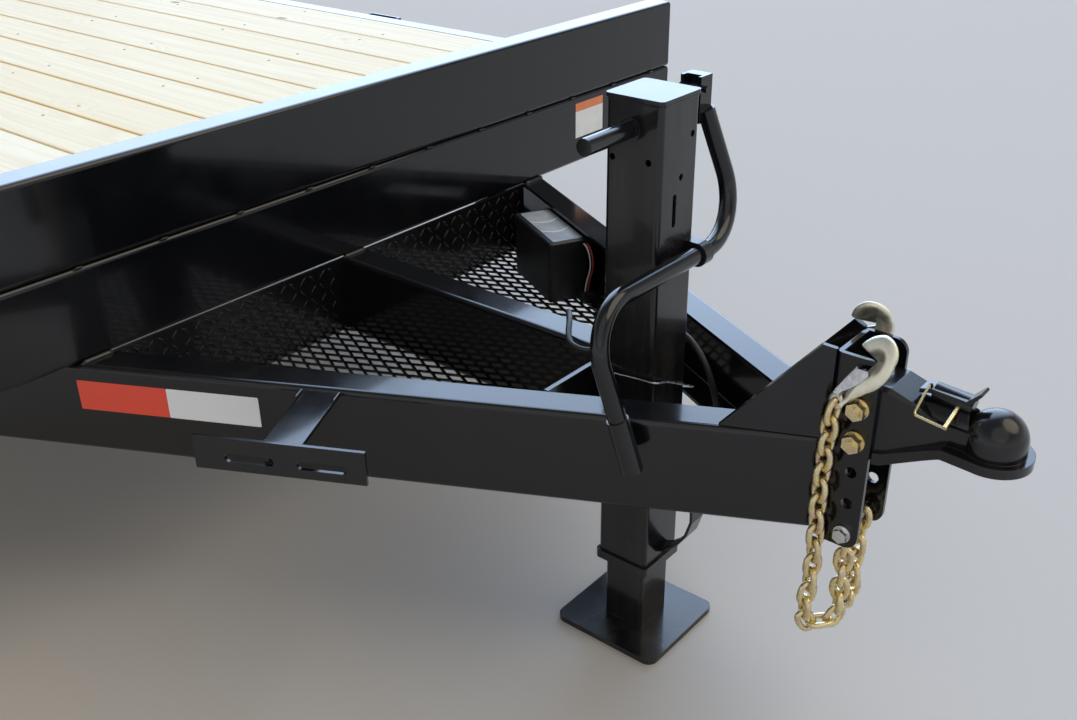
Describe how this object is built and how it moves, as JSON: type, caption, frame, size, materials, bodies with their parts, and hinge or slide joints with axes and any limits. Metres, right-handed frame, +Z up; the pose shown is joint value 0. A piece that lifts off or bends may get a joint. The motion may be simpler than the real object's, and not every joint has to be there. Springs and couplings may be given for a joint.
{
  "type": "equipment trailer",
  "caption": "Flat-deck tandem-axle equipment trailer with an A-frame tongue, tool tray, drop-leg jack, adjustable ball coupler, dovetail tail and stand-up ramps.",
  "frame": {"origin": "on the ground under the middle of the overall length and width", "axes": "+X forward towards the coupler, +Y to the left side, +Z up"},
  "size_m": [7.4618, 2.586, 2.0403],
  "materials": {
    "black_paint": "gloss black enamel",
    "black_jack_paint": "semi-gloss black, a little dusty",
    "black_tread_plate": "gloss black over raised tread",
    "black_mesh": "gloss black",
    "cast_black": "gloss black powder coat on cast steel",
    "spring_steel": "dull black",
    "yellow_zinc": "yellow zinc plate",
    "bright_zinc": "bright zinc plate",
    "pine": "new treated pine, unfinished",
    "tyre_rubber": "matt black",
    "wheel_paint": "silver enamel",
    "hub_steel": "satin black",
    "box_plastic": "moulded, matt black",
    "cord_rubber": "black jacket, satin",
    "red_lens": "clear red",
    "amber_lens": "clear amber"
  },
  "bodies": {
    "root": {"header_rail": "black_paint", "front_channel": "black_paint", "rear_channel": "black_paint", "side_rail_left": "black_paint", "side_rail_right": "black_paint", "dovetail_rails": "black_paint", "crossmembers": "black_paint", "tongue_rail_left": "black_paint", "tongue_rail_right": "black_paint", "centre_member": "black_paint", "jack_carrier": "black_paint", "spare_bracket": "black_paint", "stake_pockets": "black_paint", "ramp_hinge_lugs": "black_paint", "nose_gussets": "black_paint", "coupler_bracket": "black_paint", "spring_hangers": "black_paint", "axle_front": "black_paint", "axle_rear": "black_paint", "jack_tube": "black_jack_paint", "jack_shaft": "black_jack_paint", "jack_crank": "black_jack_paint", "tray_back_plate": "black_tread_plate", "fender_left": "black_tread_plate", "fender_right": "black_tread_plate", "tray_mesh": "black_mesh", "coupler": "cast_black", "coupler_latch": "cast_black", "springs": "spring_steel", "safety_chain_left": "yellow_zinc", "safety_chain_right": "yellow_zinc", "coupler_bolts": "yellow_zinc", "chain_bolt": "bright_zinc", "deck_boards": "pine", "dovetail_boards": "pine", "battery_box": "box_plastic", "trailer_cord": "cord_rubber", "trailer_plug": "cord_rubber", "tail_lamps": "red_lens", "side_markers": "amber_lens"},
    "front_left_wheel": {"tyre_front_left": "tyre_rubber", "wheel_front_left": "wheel_paint", "hub_front_left": "hub_steel"},
    "front_right_wheel": {"tyre_front_right": "tyre_rubber", "wheel_front_right": "wheel_paint", "hub_front_right": "hub_steel"},
    "rear_left_wheel": {"tyre_rear_left": "tyre_rubber", "wheel_rear_left": "wheel_paint", "hub_rear_left": "hub_steel"},
    "rear_right_wheel": {"tyre_rear_right": "tyre_rubber", "wheel_rear_right": "wheel_paint", "hub_rear_right": "hub_steel"},
    "left_ramp": {"ramp_left": "black_paint"},
    "right_ramp": {"ramp_right": "black_paint"},
    "drop_leg": {"jack_leg": "black_jack_paint"}
  },
  "joints": [
    {"name": "front_left_spin", "type": "hinge", "parent": "root", "child": "front_left_wheel", "pos_m": [-0.58957, 1.182, 0.388], "axis": [0, 1, 0], "continuous": true},
    {"name": "front_right_spin", "type": "hinge", "parent": "root", "child": "front_right_wheel", "pos_m": [-0.58957, -1.182, 0.388], "axis": [0, 1, 0], "continuous": true},
    {"name": "rear_left_spin", "type": "hinge", "parent": "root", "child": "rear_left_wheel", "pos_m": [-1.47857, 1.182, 0.388], "axis": [0, 1, 0], "continuous": true},
    {"name": "rear_right_spin", "type": "hinge", "parent": "root", "child": "rear_right_wheel", "pos_m": [-1.47857, -1.182, 0.388], "axis": [0, 1, 0], "continuous": true},
    {"name": "left_ramp_hinge", "type": "hinge", "parent": "root", "child": "left_ramp", "pos_m": [-3.69607, 0.5, 0.5174], "axis": [0, -1, 0], "range_deg": [0, 112]},
    {"name": "right_ramp_hinge", "type": "hinge", "parent": "root", "child": "right_ramp", "pos_m": [-3.69607, -0.5, 0.5174], "axis": [0, -1, 0], "range_deg": [0, 112]},
    {"name": "jack_slide", "type": "slide", "parent": "root", "child": "drop_leg", "axis": [0, 0, 1], "range_m": [-0.2, 0.115]}
  ]
}
